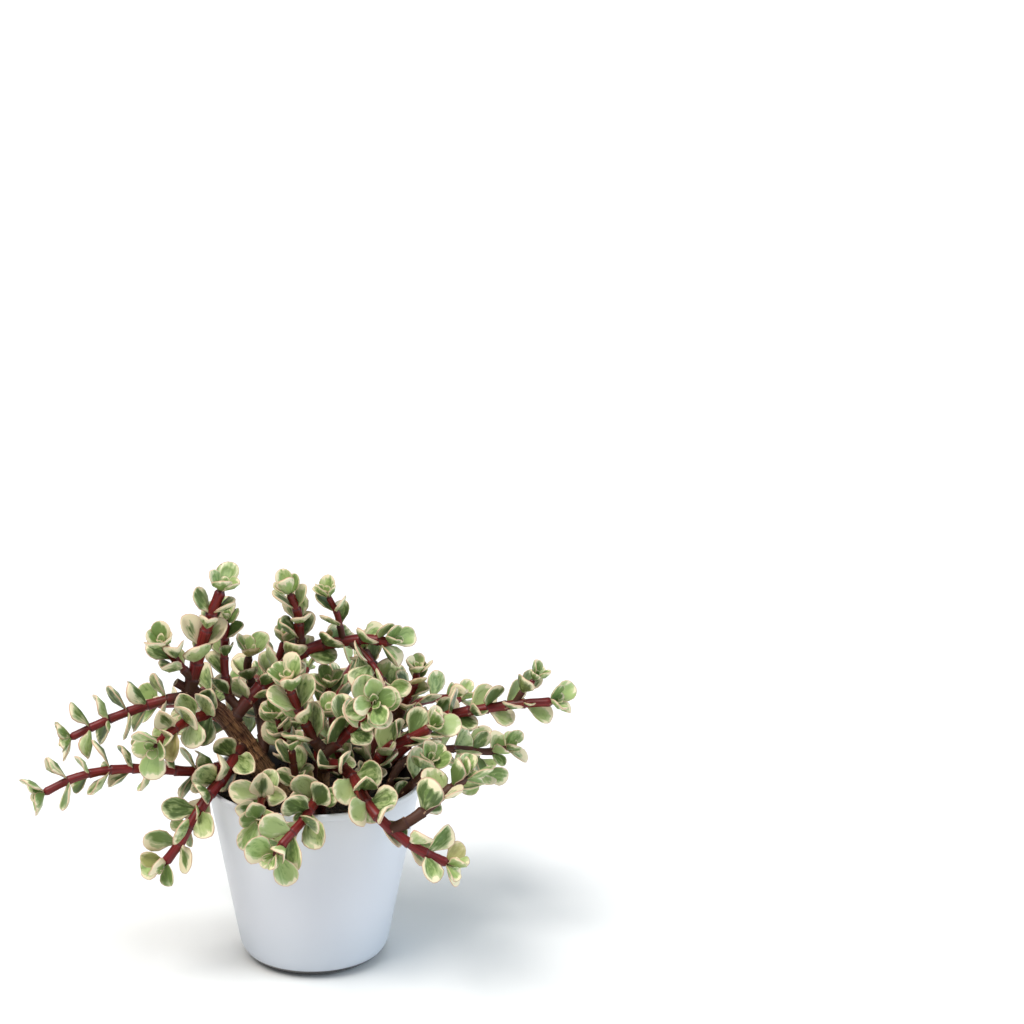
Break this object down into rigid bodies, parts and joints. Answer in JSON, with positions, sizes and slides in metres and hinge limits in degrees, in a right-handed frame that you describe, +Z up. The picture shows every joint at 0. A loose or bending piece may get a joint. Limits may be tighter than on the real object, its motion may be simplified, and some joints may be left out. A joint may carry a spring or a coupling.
{
  "type": "potted succulent shrub",
  "caption": "Variegated elephant bush with arching wine-red stems and fleshy cream-edged leaves, growing in soil in a plain white tapered round pot that stands flat.",
  "frame": {"origin": "middle of the pot's flat underside", "axes": "+Z up; -Y towards the side that the plant leans over and that a leafy branch crosses the rim on; +X to the right as seen from that side"},
  "size_m": [0.3011, 0.2252, 0.2238],
  "materials": {
    "pot_plastic": "satin",
    "potting_soil": "matte",
    "bark": "matte",
    "leafy_growth": "satin"
  },
  "bodies": {
    "root": {"pot": "pot_plastic", "soil": "potting_soil", "trunk": "bark", "inner_stem": "bark", "shoot_upper_left": "leafy_growth", "twig_upper_left": "leafy_growth", "branch_left": "leafy_growth", "branch_low_left": "leafy_growth", "shoot_mid_left": "leafy_growth", "branch_hanging_left": "leafy_growth", "shoot_upright": "leafy_growth", "twig_upright": "leafy_growth", "branch_arching": "leafy_growth", "shoot_behind_left": "leafy_growth", "shoot_top": "leafy_growth", "shoot_top_thin": "leafy_growth", "shoot_right": "leafy_growth", "twig_right": "leafy_growth", "shoot_front": "leafy_growth", "rosette_front": "leafy_growth", "branch_front_right": "leafy_growth", "twig_low_right": "leafy_growth", "shoot_mid_right": "leafy_growth", "branch_far_right": "leafy_growth", "twig_far_right": "leafy_growth", "branch_right_behind": "leafy_growth", "shoot_low_right": "leafy_growth", "branch_over_rim": "leafy_growth", "rosette_left_rim": "leafy_growth", "shoot_centre": "leafy_growth", "rear_branch_left": "leafy_growth", "rear_branch_back_left": "leafy_growth", "rear_branch_back": "leafy_growth", "rear_branch_hanging": "leafy_growth", "rear_branch_right": "leafy_growth", "rear_twig_right": "leafy_growth", "rear_twig_trunk": "leafy_growth", "rear_twig_upright": "leafy_growth", "shoot_inner_left": "leafy_growth", "shoot_inner_right": "leafy_growth", "shoot_inner_back": "leafy_growth", "twig_arching": "leafy_growth"}
  },
  "joints": []
}
